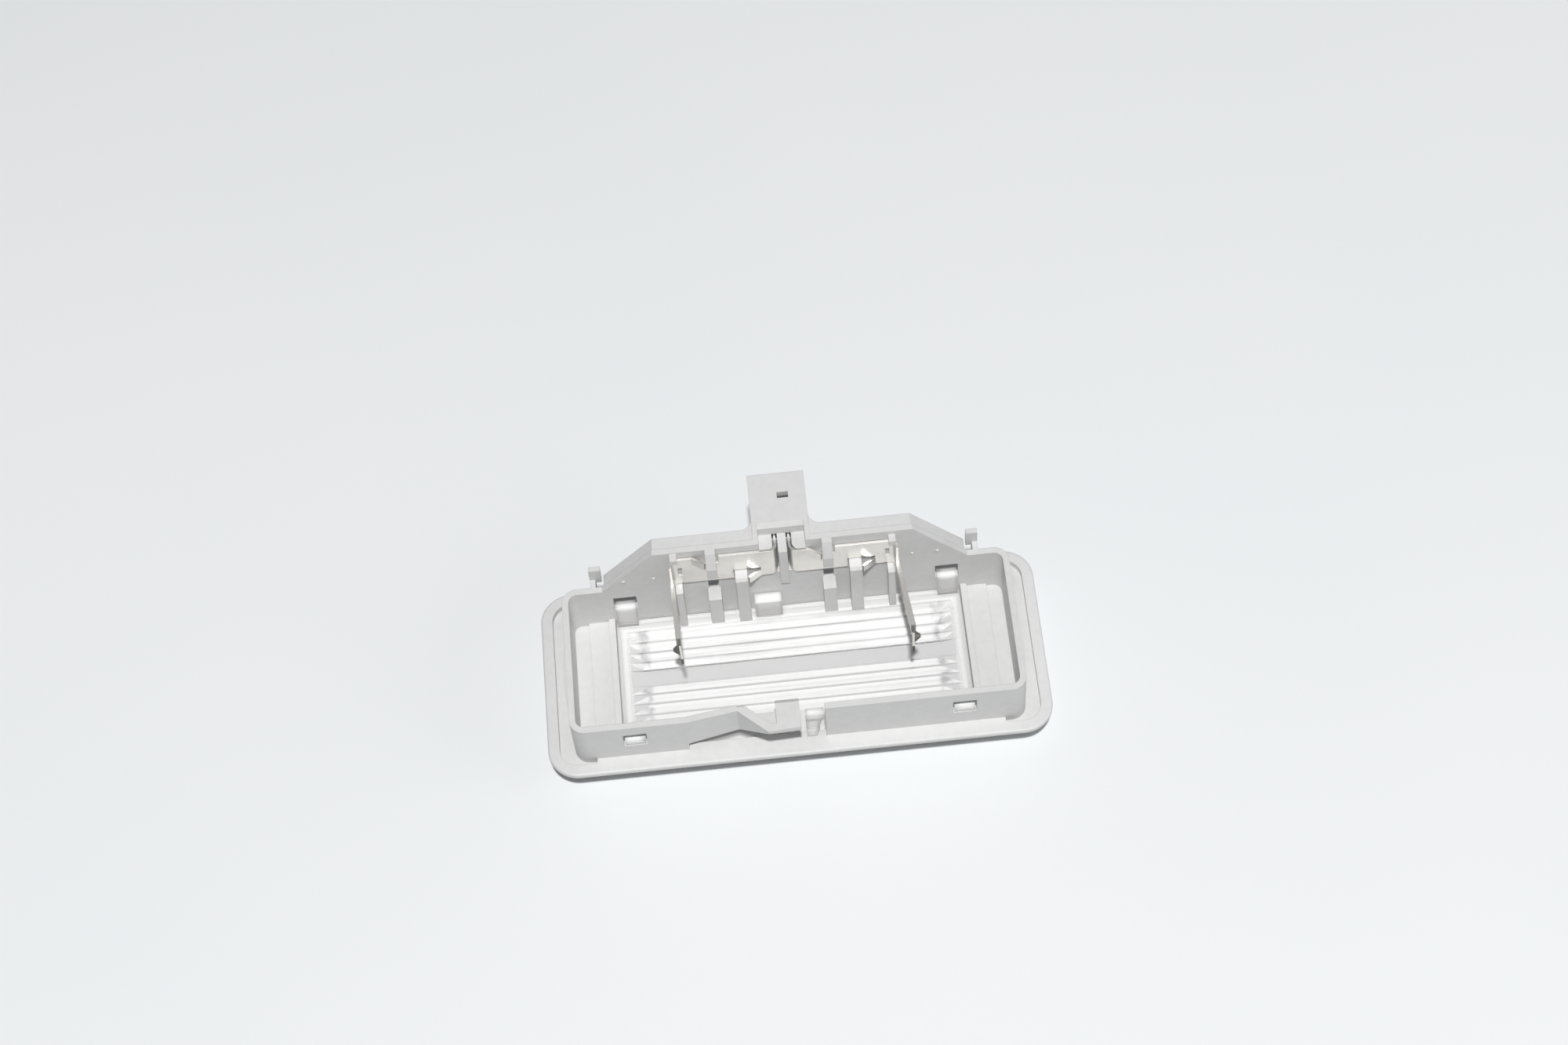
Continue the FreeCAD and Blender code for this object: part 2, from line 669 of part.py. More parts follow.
def contact(side, hook_x, stop_x, strip_top, leaf_y, splay):
    """Bent spring strip: plug blade, strip along the wall, hemmed arm and cupped leaf for the bulb."""
    blade_x = side * BLADE_PITCH / 2
    blade_end = SOCKET_MOUTH - BLADE_RECESS
    root_y = STRIP_Y - BEND_RADIUS - ROOT_RETURN
    leaf_x = side * (ARM_X + splay)
    leaf_start = leaf_y + LEAF_RISE
    leaf_end = leaf_y - LEAF_FALL
    arm_top = STRIP_BOTTOM + ARM_HEIGHT
    strip_path = [
        (blade_x, blade_end),
        (blade_x, STRIP_Y),
        (side * ARM_X, STRIP_Y),
        (side * ARM_X, root_y),
    ]
    arm_path = [
        (side * ARM_X, root_y + ROOT_RETURN),
        (side * ARM_X, root_y),
        (leaf_x, leaf_start),
    ]
    leaf_root = leaf_start + ROOT_RETURN
    leaf_path = [(leaf_x, leaf_root), (leaf_x - side * LEAF_LEAN, leaf_end)]
    cup_x = leaf_x - side * LEAF_LEAN * (leaf_root - leaf_y) / (leaf_root - leaf_end)
    shoulder = STRIP_Y + BEND_RADIUS + SHEET
    blade_top = BLADE_BOTTOM + BLADE_HEIGHT
    blank = [
        (blade_end, BLADE_BOTTOM),
        (blade_end, blade_top),
        (shoulder, blade_top),
        (shoulder - SHEET, strip_top),
        (root_y, strip_top),
        (root_y, STRIP_BOTTOM),
        (STRIP_Y + SHEET, STRIP_BOTTOM),
        (shoulder, STRIP_BOTTOM + BEND_RADIUS),
        (shoulder, BLADE_BOTTOM),
    ]
    strip = sheet_along(strip_path, BEND_RADIUS, SHEET, STRIP_BOTTOM, strip_top)
    strip = strip.common(side_prism(blank, -ARM_X - SHEET, ARM_X + SHEET))
    arm = sheet_along(arm_path, BEND_RADIUS, ARM_HEM, STRIP_BOTTOM, arm_top)
    leaf = sheet_along(leaf_path, SHEET, SHEET, STRIP_BOTTOM, arm_top)
    tip = leaf_end - SHEET
    corner = [(leaf_y, arm_top), (tip, arm_top), (tip, arm_top - LEAF_CROP)]
    reach = abs(leaf_x) + SHEET
    leaf = leaf.cut(side_prism(corner, -reach, reach))
    outward = Vector(side, 0, 0)
    seat = Vector(cup_x, leaf_y, (STRIP_BOTTOM + arm_top) / 2)
    cup = Part.makeCone(CUP_RADIUS, CUP_TIP, CUP_DEPTH, seat, outward)
    hollow = Part.makeCone(CUP_RADIUS, CUP_TIP, CUP_DEPTH, seat - outward * SHEET, outward)
    leaf = leaf.fuse(cup).cut(hollow)

    front, back = around(STRIP_Y, 2 * SHEET)
    hook_left, hook_right = around(hook_x, HOOK_WIDTH)
    stop_left, stop_right = around(stop_x, STOP_POST_WIDTH)
    upper_root = hook_left - LANCE_LENGTH
    lower_root = stop_right + LANCE_LENGTH
    hole_x = side * (ARM_X - BEND_RADIUS - BEND_HOLE / 2)
    hole_z = (STRIP_BOTTOM + strip_top) / 2
    cuts = [
        block(upper_root, hook_right + SHEET, front, back, strip_top - LANCE_HEIGHT - POST_PLAY, strip_top),
        block(stop_left - POST_PLAY, lower_root, front, back, STRIP_BOTTOM, STOP_POST_TOP + POST_PLAY),
        block(*around(hole_x, BEND_HOLE), front, back, *around(hole_z, BEND_HOLE_HEIGHT)),
    ]
    strip = strip.cut(cuts)

    lance_y = STRIP_Y - LANCE_SPREAD
    upper = [(upper_root - SHEET, STRIP_Y), (upper_root, STRIP_Y), (hook_left - POST_PLAY, lance_y)]
    lower = [(lower_root + SHEET, STRIP_Y), (lower_root, STRIP_Y), (stop_right + POST_PLAY, lance_y)]
    lances = [
        sheet_along(upper, SHEET, SHEET, strip_top - LANCE_HEIGHT, strip_top),
        sheet_along(lower, SHEET, SHEET, STRIP_BOTTOM, STRIP_BOTTOM + LANCE_HEIGHT),
    ]
    return strip.fuse([arm, leaf, *lances]).removeSplitter()


def build():
    """Every piece of the lamp by name, with the front of the bezel at zero."""
    pieces = {
        "housing": housing(),
        "lens": lens(),
        "contact_left": contact(-1, LEFT_HOOK_X, LEFT_STOP_X, LEFT_STRIP_TOP, LEFT_LEAF_Y, LEFT_SPLAY),
        "contact_right": contact(1, RIGHT_HOOK_X, RIGHT_STOP_X, RIGHT_STRIP_TOP, RIGHT_LEAF_Y, RIGHT_SPLAY),
    }
    return {name: shape.translated(Vector(0, 0, FRONT_DEPTH)) for name, shape in pieces.items()}


os.makedirs("parts", exist_ok=True)
for name, shape in build().items():
    shape.exportStep(f"parts/{name}.step")
    print(name, shape.isValid(), len(shape.Solids), round(shape.Volume, 1))
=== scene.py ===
"""Car interior light lying on its lit face: finishes, small moulded marks, stage, light and camera."""
import math

import bpy
import numpy as np
from bpy.props import FloatProperty, FloatVectorProperty, PointerProperty
from mathutils import Matrix, Vector


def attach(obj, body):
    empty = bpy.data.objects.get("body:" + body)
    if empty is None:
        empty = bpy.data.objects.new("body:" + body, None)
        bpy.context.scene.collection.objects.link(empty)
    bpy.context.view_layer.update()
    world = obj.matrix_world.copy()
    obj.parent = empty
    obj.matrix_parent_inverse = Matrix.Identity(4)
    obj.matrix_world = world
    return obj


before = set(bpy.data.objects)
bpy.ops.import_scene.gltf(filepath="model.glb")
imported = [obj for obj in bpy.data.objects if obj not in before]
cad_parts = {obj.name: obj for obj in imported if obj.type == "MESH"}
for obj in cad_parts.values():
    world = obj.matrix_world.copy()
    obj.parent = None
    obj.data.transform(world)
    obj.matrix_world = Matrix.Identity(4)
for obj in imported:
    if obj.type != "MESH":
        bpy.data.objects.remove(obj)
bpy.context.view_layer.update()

MM = 0.001

# Patterns: waves per metre, detail, and the noise that counts as 0 and as 1
CLOUD = (70.0, 4.0, 0.3, 0.7)
MOTTLE = (700.0, 5.0, 0.35, 0.7)
SPECK = (1500.0, 2.0, 0.62, 0.78)
HAZE = (120.0, 4.0, 0.35, 0.75)
STREAK = (1100.0, 2.0, 0.36, 0.62)
BLOT = (450.0, 3.0, 0.38, 0.62)
TARNISH = (160.0, 3.0, 0.42, 0.85)
TABLE_CLOUD = (6.0, 3.0, 0.3, 0.7)

# Plain noise: waves per metre and detail
GRAIN = (6500.0, 2.0)
ROLLING = (2600.0, 2.0)

# Stretch of what runs along X
ALONG_FLUTES = (0.03, 1.0, 1.0)
ALONG_STRIP = (0.05, 1.0, 1.0)

# Depth of the fine relief, softness of edges, and optics of the plastics
GRAIN_DEPTH = 0.02 * MM
ROLLING_DEPTH = 0.006 * MM
EDGE_SAMPLES = 6
EDGE_CONTRAST = 4.0
NYLON_IOR = 1.5
POLYCARBONATE_IOR = 1.585

# How far a face looks up before it counts as a top
TOP_LEAN = (0.5, 0.7)

# Squares of the lean, to the front or rear, at which a face counts as a flute's slope or riser
SLOPE_LEAN = (0.03, 0.06)
RISER_LEAN = (0.8, 0.9)

# Depths below the flutes' crests from which a riser and a crest's grey line count
RISER_BELOW = (0.8 * MM, 0.7 * MM)
CREST_BELOW = (0.12 * MM, 0.05 * MM)

# Widths over which one zone passes into the next
FITTING_FADE = 0.6 * MM
SIDE_FADE = 0.3 * MM
END_FADE = 0.4 * MM
AHEAD_FADE = 2.0 * MM
RUNOUT_RISE = 0.8 * MM
RUNOUT_FALL = 1.2 * MM
ARM_FADE = 1.2 * MM
LEAF_FADE = 0.3 * MM

# Slant of the line across the lamp where the leaves begin
LEAF_SKEW = 0.05

# Nearest and farthest that the camera sees, in metres
CAMERA_NEAR = 0.01
CAMERA_FAR = 50.0

bl_info = {
    "name": "Interior Light",
    "version": (1, 0, 0),
    "blender": (4, 5, 0),
    "location": "View3D > Sidebar > Interior Light",
    "description": "Finishes and stages a snap-in car interior light",
    "category": "Object",
}


class Value:
    """A number that leaves a node. Arithmetic on it adds Math nodes to the same tree."""

    def __init__(self, socket):
        self.socket = socket

    def _math(self, operation, first, second):
        tree = self.socket.id_data
        node = tree.nodes.new("ShaderNodeMath")
        node.operation = operation
        for target, value in zip(node.inputs, (first, second)):
            if isinstance(value, Value):
                tree.links.new(value.socket, target)
            else:
                target.default_value = value
        return Value(node.outputs[0])

    def __add__(self, other):
        return self._math("ADD", self, other)

    def __radd__(self, other):
        return self._math("ADD", other, self)

    def __sub__(self, other):
        return self._math("SUBTRACT", self, other)

    def __rsub__(self, other):
        return self._math("SUBTRACT", other, self)

    def __mul__(self, other):
        return self._math("MULTIPLY", self, other)

    def __rmul__(self, other):
        return self._math("MULTIPLY", other, self)

    def clamp(self):
        """The number held between 0 and 1."""
        return self._math("MINIMUM", self._math("MAXIMUM", self, 0.0), 1.0)


class Finish:
    """A node tree under construction, with one method that adds any node."""

    def __init__(self, tree):
        self.tree = tree
        tree.nodes.clear()

    def node(self, kind, settings=None, inputs=None):
        """Adds a node: its settings first, then the values or links of its sockets."""
        node = self.tree.nodes.new(kind)
        for name, value in (settings or {}).items():
            setattr(node, name, value)
        for key, value in (inputs or {}).items():
            target = node.inputs[key]
            if isinstance(value, Value):
                value = value.socket
            if isinstance(value, bpy.types.NodeSocket):
                self.tree.links.new(value, target)
            else:
                target.default_value = value
        return node

    def place(self, stretch=(1.0, 1.0, 1.0)):
        """Object coordinates, stretched along the axes."""
        coordinates = self.node("ShaderNodeTexCoord").outputs["Object"]
        mapping = self.node("ShaderNodeMapping", None, {"Vector": coordinates, "Scale": stretch})
        return mapping.outputs["Vector"]

    def axis(self, name):
        """One object coordinate, in metres."""
        node = self.node("ShaderNodeSeparateXYZ", None, {0: self.place()})
        return Value(node.outputs[name])

    def facing(self, name):
        """How far the true face looks along an axis, from -1 to 1."""
        normal = self.node("ShaderNodeNewGeometry").outputs["True Normal"]
        return Value(self.node("ShaderNodeSeparateXYZ", None, {0: normal}).outputs[name])

    def noise(self, scale, detail, stretch=(1.0, 1.0, 1.0)):
        """Cloudy variation between 0 and 1, scale in waves per metre."""
        inputs = {"Vector": self.place(stretch), "Scale": scale, "Detail": detail}
        return Value(self.node("ShaderNodeTexNoise", None, inputs).outputs[0])

    def ramp(self, value, low, high):
        """A value spread from low and high to 0 and 1."""
        inputs = {"Value": value, "From Min": low, "From Max": high}
        return Value(self.node("ShaderNodeMapRange", {"clamp": True}, inputs).outputs[0])

    def pattern(self, scale, detail, low, high, stretch=(1.0, 1.0, 1.0)):
        """Cloudy variation, spread from low and high to 0 and 1."""
        return self.ramp(self.noise(scale, detail, stretch), low, high)

    def both_sides(self, value, low, high):
        """A value on either side of zero, its distance from zero spread from low and high to 0 and 1."""
        return self.ramp(value * value, low ** 2, high ** 2)

    def blend(self, factor, first, second):
        """One colour laid over another by a factor."""
        node = self.node("ShaderNodeMix", {"data_type": "RGBA"}, {0: factor, 6: first, 7: second})
        return node.outputs[2]

    def soft_edges(self, radius):
        """Normal that rounds every sharp edge, and how much it differs from the flat face's."""
        rounded = self.node("ShaderNodeBevel", {"samples": EDGE_SAMPLES}, {"Radius": radius}).outputs[0]
        flat = self.node("ShaderNodeNewGeometry").outputs["Normal"]
        dot = self.node("ShaderNodeVectorMath", {"operation": "DOT_PRODUCT"}, {0: rounded, 1: flat})
        return rounded, 1.0 - Value(dot.outputs["Value"])

    def bump(self, height, distance, strength, normal):
        """Normal with a relief on top of another normal."""
        inputs = {"Height": height, "Distance": distance, "Strength": strength, "Normal": normal}
        return self.node("ShaderNodeBump", None, inputs).outputs["Normal"]

    def mix(self, factor, first, second):
        """One shader laid over another by a factor."""
        inputs = {0: factor, 1: first.outputs[0], 2: second.outputs[0]}
        return self.node("ShaderNodeMixShader", None, inputs)

    def output(self, shader):
        """Makes a shader the material's surface."""
        self.node("ShaderNodeOutputMaterial", None, {"Surface": shader.outputs[0]})


def colour(value):
    """A property's three numbers as a shader colour."""
    return (*value, 1.0)


def new_finish(name):
    """An empty material and its tree."""
    material = bpy.data.materials.new(name)
    material.use_nodes = True
    return material, Finish(material.node_tree)


def nylon_finish(look):
    """Pale satin nylon: cloudy tone, fine grain, worn warm edges, painted shade in the corners and specks
    of dirt.
    """
    material, f = new_finish("grey_nylon")
    rounded, _ = f.soft_edges(look.edge_round)
    _, edge = f.soft_edges(look.wear_width)
    cloud = f.pattern(*CLOUD)
    mottle = f.pattern(*MOTTLE)
    speck = f.pattern(*SPECK)
    grain = f.noise(*GRAIN)
    # Painted shade: ambient occlusion darkens the colour in corners and creases, where shade falls; the
    # specks mixed into it are dirt.
    shelter = f.node("ShaderNodeAmbientOcclusion", {"samples": EDGE_SAMPLES}, {"Distance": look.corner_shade_reach})
    corner = 1.0 - Value(shelter.outputs["AO"])
    patch = (0.5 * cloud + 0.5 * mottle).clamp()
    worn = (EDGE_CONTRAST * edge).clamp() * (0.25 + 0.45 * cloud)
    corner_shade_and_dust = (corner * corner * (0.15 + 0.2 * cloud) + 0.06 * speck).clamp()
    base = f.blend(patch, colour(look.nylon_dark), colour(look.nylon))
    base = f.blend(worn, base, colour(look.nylon_edge))
    base = f.blend(corner_shade_and_dust, base, colour(look.corner_shade_and_dust))
    shader = f.node("ShaderNodeBsdfPrincipled", None, {
        "Base Color": base,
        "Roughness": look.nylon_roughness + 0.14 * (cloud - 0.5) + 0.06 * grain,
        "IOR": NYLON_IOR,
        "Normal": f.bump(grain, GRAIN_DEPTH, 0.35, rounded),
    })
    f.output(shader)
    return material


def lens_frost_and_highlight(f, frost_and_highlight, up, haze):
    """How matt and pale the lens is, partly painted highlight, how far painted shade greys it, and how far
    it is a fitting, each from 0 to 1.
    """
    x, y, z = (f.axis(name) for name in "XYZ")
    across = f.facing("Y")
    lean = across * across
    streak = f.pattern(*STREAK, ALONG_FLUTES)
    blot = f.pattern(*BLOT)
    # Where each part lies
    fitting = f.ramp(z, frost_and_highlight.fitting_from, frost_and_highlight.fitting_from + FITTING_FADE)
    rear = f.ramp(y, frost_and_highlight.rear_from, frost_and_highlight.rear_from + SIDE_FADE)
    front = f.ramp(y, frost_and_highlight.front_from, frost_and_highlight.front_from - SIDE_FADE)
    end = f.both_sides(x, frost_and_highlight.end_from, frost_and_highlight.end_from + END_FADE)
    border = (rear + end + 0.5 * front).clamp() * up * (1.0 - fitting)
    fluted = (1.0 - rear) * (1.0 - front) * (1.0 - end) * (1.0 - fitting)
    slope = f.ramp(lean, *SLOPE_LEAN) * up
    wall = f.ramp(z, *(frost_and_highlight.crest - depth for depth in RISER_BELOW))
    riser = f.ramp(lean, *RISER_LEAN) * wall * fluted
    crest = f.ramp(z, *(frost_and_highlight.crest - depth for depth in CREST_BELOW))
    ahead = f.ramp(y, 0.0, -AHEAD_FADE)
    runout = f.both_sides(x, frost_and_highlight.runout_from, frost_and_highlight.runout_from + RUNOUT_RISE)
    runout = runout * f.both_sides(x, frost_and_highlight.runout_to, frost_and_highlight.runout_to - RUNOUT_FALL)
    # How matt and pale it is there, partly painted highlight, and how far painted shade greys it
    # The matt pale finish is partly the mould's texture and partly painted highlight standing in for light
    # that the flutes, borders and fittings focus; there is more on the front flutes and on the fittings'
    # tops.
    flute = slope * (frost_and_highlight.flute + frost_and_highlight.streak * streak + frost_and_highlight.haze * haze + frost_and_highlight.ahead * ahead).clamp()
    fittings = fitting * (frost_and_highlight.fitting + frost_and_highlight.fitting_top * up)
    matt = (flute + frost_and_highlight.riser * riser + frost_and_highlight.border * border + fittings).clamp()
    # Painted shade: grey lines along the crests and risers, lighter on the front flutes, and grey blots at
    # the run-outs standing in for dark reflections.
    grey = slope * ((frost_and_highlight.crest_line - frost_and_highlight.crest_fade * ahead) * crest + frost_and_highlight.blot * runout * blot)
    grey = (grey + (frost_and_highlight.riser_line - frost_and_highlight.riser_fade * ahead) * riser).clamp()
    return matt, grey, fitting


def lens_finish(look, frost_and_highlight):
    """Clear polycarbonate, polished in its plain band; the rest is more or less matt and pale, partly the
    mould's texture and partly painted highlight, with painted grey shade on the flutes.

    Shadow rays go straight through, and so do diffuse rays, apart from those that meet the lens
    from above, so that the light under the lens is counted once.
    """
    material, f = new_finish("clear_lens")
    up = f.ramp(f.facing("Z"), *TOP_LEAN)
    outside = 1.0 - Value(f.node("ShaderNodeNewGeometry").outputs["Backfacing"])
    haze = f.pattern(*HAZE)
    matt, grey, fitting = lens_frost_and_highlight(f, frost_and_highlight, up, haze)
    broad, _ = f.soft_edges(frost_and_highlight.depth)
    clear = f.node("ShaderNodeBsdfPrincipled", None, {
        "Base Color": colour(look.lens),
        "Roughness": look.lens_roughness + 0.01 * haze + 0.2 * fitting,
        "IOR": look.lens_ior,
        "Transmission Weight": 1.0,
    })
    matt_white_and_highlight = f.node("ShaderNodeBsdfPrincipled", None, {
        "Base Color": f.blend(grey, colour(frost_and_highlight.matt_white_and_highlight), colour(frost_and_highlight.line)),
        "Roughness": 0.4 + 0.15 * haze,
        "IOR": POLYCARBONATE_IOR,
        "Specular IOR Level": 0.2,
        "Normal": broad,
    })
    through = f.node("ShaderNodeBsdfTransparent", None, {"Color": colour(look.lens_shade)})
    path = f.node("ShaderNodeLightPath").outputs
    passing = Value(path["Is Shadow Ray"]) + Value(path["Is Diffuse Ray"]) * (1.0 - up * outside)
    solid = f.mix(matt, clear, matt_white_and_highlight)
    f.output(f.mix(passing.clamp(), solid, through))
    return material


def strip_finish(look):
    """Rolled spring strip: bright plating, dull patches, tarnished arms, and leaves painted dark as a
    painted reflection of the dark inside of the lamp.
    """
    material, f = new_finish("spring_metal")
    rounded, edge = f.soft_edges(look.strip_round)
    rolled = f.noise(*ROLLING, ALONG_STRIP)
    dull = f.pattern(*TARNISH)
    y = f.axis("Y")
    arm = f.ramp(y, look.arm_start, look.arm_start - ARM_FADE)
    leaf = f.ramp(y + LEAF_SKEW * f.axis("X"), look.leaf_start, look.leaf_start - LEAF_FADE)
    tarnish = (0.8 * arm + 0.7 * (EDGE_CONTRAST * edge).clamp()).clamp()
    base = f.blend(0.6 * dull, colour(look.strip), colour(look.strip_dull))
    base = f.blend(tarnish, base, colour(look.strip_dull))
    # Painted reflection: the leaves are painted dark where they mirror the dark inside of the lamp.
    base = f.blend(leaf, base, colour(look.leaf_dark_reflection))
    shader = f.node("ShaderNodeBsdfPrincipled", None, {
        "Base Color": base,
        "Metallic": 0.9 - 0.35 * arm + 0.2 * leaf,
        "Roughness": look.strip_roughness + 0.08 * dull + 0.05 * rolled + 0.12 * arm,
        "Normal": f.bump(rolled, ROLLING_DEPTH, 0.15, rounded),
    })
    f.output(shader)
    return material


def table_finish(look):
    """Smooth pale table top with a hint of cloud, which throws less light back than it shows."""
    material, f = new_finish("table_top")
    cloud = f.pattern(*TABLE_CLOUD)
    bounced = Value(f.node("ShaderNodeLightPath").outputs["Is Diffuse Ray"])
    base = f.blend(cloud, colour(look.table_cool), colour(look.table))
    base = f.blend(bounced, base, colour(look.table_bounce))
    shader = f.node("ShaderNodeBsdfPrincipled", None, {
        "Base Color": base,
        "Roughness": 0.42 + 0.08 * cloud,
        "Specular IOR Level": 0.3,
    })
    f.output(shader)
    return material


def dress(node, material):
    """Gives a CAD node a finish."""
    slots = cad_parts[node].data.materials
    slots.clear()
    slots.append(material)


def grid_faces(rows, columns, offset=0):
    """Quads of a grid whose columns close into a ring, one row after another."""
    row = np.arange(rows - 1)[:, None] * columns
    here = np.arange(columns)[None, :]
    nxt = (here + 1) % columns
    quads = np.stack([row + here, row + nxt, row + columns + nxt, row + columns + here], -1)
    return quads.reshape(-1, 4) + offset


def mesh_piece(name, points, quads, material):
    """Puts arrays of points and quads into a piece that rides on the lamp."""
    mesh = bpy.data.meshes.new(name)
    mesh.from_pydata(points.reshape(-1, 3).tolist(), [], quads.tolist())
    mesh.update()
    mesh.polygons.foreach_set("use_smooth", [True] * len(mesh.polygons))
    mesh.materials.append(material)
    piece = bpy.data.objects.new(name, mesh)
    bpy.context.scene.collection.objects.link(piece)
    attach(piece, "root")
    return piece


def domes(centres, outward, radius, height, sink, turns=20, rings=6):
    """Low round pips on a flat face.

    Round the axis by t and outwards by s, a point lies s times the radius from the centre and
    the height times (1 - s squared) above the face; a last ring and a centre lie below the face.
    """
    t = np.linspace(0, 2 * math.pi, turns, endpoint=False)
    s = np.concatenate([[1e-3], np.linspace(0.2, 1.0, rings), [1.0, 1e-3]])
    up = np.concatenate([height * (1 - s[:-2] ** 2), [-sink, -sink]])
    axis = np.array(outward, float)
    first = np.cross(axis, (0.0, 0.0, 1.0) if abs(axis[2]) < 0.5 else (1.0, 0.0, 0.0))
    second = np.cross(axis, first)
    ring = np.cos(t)[:, None] * first + np.sin(t)[:, None] * second
    dome = radius * s[:, None, None] * ring + up[:, None, None] * axis
    points = np.asarray(centres, float)[:, None, None, :] + dome[None]
    count = len(s) * turns
    quads = np.concatenate([grid_faces(len(s), turns, k * count)[:, ::-1] for k in range(len(points))])
    return points, quads


def tone(name, description, default):
    """A colour property."""
    return FloatVectorProperty(
        name=name, description=description, default=default, subtype="COLOR", min=0.0, max=1.0,
    )


def point(name, description, default):
    """A point property, in metres."""
    return FloatVectorProperty(
        name=name, description=description, default=default, subtype="TRANSLATION", precision=6,
    )


def share(name, description, default):
    """A property between 0 and 1."""
    return FloatProperty(
        name=name, description=description, default=default, subtype="FACTOR", min=0.0, max=1.0,
    )


def length(name, description, default):
    """A length property, in metres."""
    return FloatProperty(name=name, description=description, default=default, unit="LENGTH", precision=6)


def camera_length(name, description, default):
    """A length inside the camera, in millimetres."""
    return FloatProperty(name=name, description=description, default=default, unit="CAMERA", min=1.0)


def angle(name, description, degrees):
    """An angle property, with its default in degrees."""
    return FloatProperty(name=name, description=description, default=math.radians(degrees), subtype="ANGLE")


def watts(name, description, default):
    """The power of a light."""
    return FloatProperty(name=name, description=description, default=default, unit="POWER", min=0.0)


class LampLooks(bpy.types.PropertyGroup):
    """Colours and surface qualities of the lamp and the table."""

    nylon: tone("Nylon", "Colour of the moulded body", (0.725, 0.725, 0.72))
    nylon_dark: tone("Nylon shade", "Darker clouds in the moulded body", (0.66, 0.66, 0.655))
    nylon_edge: tone("Worn edge", "Warm tone along rubbed edges", (0.62, 0.59, 0.53))
    nylon_roughness: share("Nylon roughness", "Roughness of the moulded body", 0.46)
    edge_round: length("Edge round", "Radius by which the body's sharp edges are softened", 0.12 * MM)
    wear_width: length("Wear width", "How far rubbing has worn the edges", 0.3 * MM)
    # Colour of the painted shade in corners, which also tints the specks of dirt; its reach is how far that
    # painted shade spreads from a corner.
    corner_shade_and_dust: tone("Dust", "Dust that lies in corners", (0.40, 0.38, 0.35))
    corner_shade_reach: length("Dust reach", "How far dust spreads out of a corner", 1.2 * MM)
    lens: tone("Lens", "Tint of the clear lens", (0.81, 0.785, 0.775))
    lens_shade: tone("Lens shade", "Light that one face of the lens lets through", (0.965, 0.97, 0.97))
    lens_roughness: share("Lens roughness", "Roughness of the polished lens", 0.004)
    lens_ior: FloatProperty(
        name="Lens bending", description="How far the lens bends light, low as in a thin-walled moulding",
        default=1.12, subtype="FACTOR", min=1.0, max=2.0,
    )
    strip: tone("Spring strip", "Bright plating of the contacts", (0.87, 0.85, 0.81))
    strip_dull: tone("Dull strip", "Tarnished patches and cut edges of the contacts", (0.52, 0.505, 0.48))
    # The leaves' dark colour is a painted reflection of the dark inside of the lamp.
    leaf_dark_reflection: tone("Dark leaf", "Tarnished cups at the ends of the contacts", (0.24, 0.235, 0.22))
    strip_roughness: share("Strip roughness", "Roughness of the contacts", 0.27)
    strip_round: length("Strip edge round", "Radius by which the strips' edges are softened", 0.048 * MM)
    arm_start: length("Arms from", "Distance behind the middle where the tarnished arms begin", 10.2 * MM)
    leaf_start: length("Leaves from", "Line across the lamp in front of which the leaves begin", -1.6 * MM)
    table: tone("Table", "Colour of the table top", (0.87, 0.885, 0.895))
    table_cool: tone("Table shade", "Cooler clouds in the table top", (0.85, 0.87, 0.885))
    table_bounce: tone("Table bounce", "Light that the table throws back on the lamp", (0.62, 0.63, 0.63))


class LampFrostAndHighlight(bpy.types.PropertyGroup):
    """How matt and pale each part of the lens is, partly the mould's texture and partly painted highlight,
    and how far painted shade greys it.
    """

    # Colour of the matt parts, partly the mould's texture and partly painted highlight.
    matt_white_and_highlight: tone("Frost", "White of the matt parts of the lens", (0.95, 0.95, 0.945))
    # Grey of the painted shade along the crests and risers and of the painted dark reflections at the
    # run-outs.
    line: tone("Flute line", "Grey of the flutes' crests and run-outs", (0.42, 0.43, 0.43))
    depth: length("Frost depth", "How far light spreads in the matt parts of the lens", 1.6 * MM)
    flute: share("Flutes", "Frost on every flute", 0.45)
    streak: share("Streaks", "Frost that streaks along the flutes", 0.4)
    haze: share("Haze", "Frost that clouds the flutes", 0.2)
    ahead: share("Front flutes", "Further frost on the front flutes", 0.2)
    riser: share("Risers", "Frost on the upright sides of the flutes", 0.6)
    border: share("Borders", "Frost on the flat borders of the lens", 0.55)
    fitting: share("Fittings", "Frost on the latches, the block and the tab", 0.5)
    fitting_top: share("Fitting tops", "Further frost on top of the fittings", 0.35)
    # Painted shade on the crests and risers, and painted dark reflections at the run-outs.
    crest_line: share("Crest lines", "Grey of the crests", 0.35)
    crest_fade: share("Crest fade", "Grey that the front crests lack", 0.2)
    riser_line: share("Riser lines", "Grey of the risers", 0.4)
    riser_fade: share("Riser fade", "Grey that the front risers lack", 0.25)
    blot: share("Run-outs", "Grey of the blots at the flutes' ends", 0.8)
    end_from: length("End borders from", "Distance from the middle where the matt ends begin", 28.2 * MM)
    rear_from: length("Rear border from", "Place behind the middle where that border begins", 9.2 * MM)
    front_from: length("Front border from", "Place before the middle where that border begins", -9.2 * MM)
    crest: length("Flute crest", "Height of the flutes' crests", 6.6 * MM)
    fitting_from: length("Fittings from", "Height from which the lens counts as a fitting", 6.8 * MM)
    runout_from: length("Run-outs from", "Distance from the middle where the blots begin", 24.2 * MM)
    runout_to: length("Run-outs to", "Distance from the middle where the blots end", 27.2 * MM)


class LampMarks(bpy.types.PropertyGroup):
    """Sizes of the small moulded marks."""

    pip_radius: length("Pip radius", "Radius of the pips on the rear wall", 0.36 * MM)
    pip_height: length("Pip height", "How far the pips stand out", 0.26 * MM)


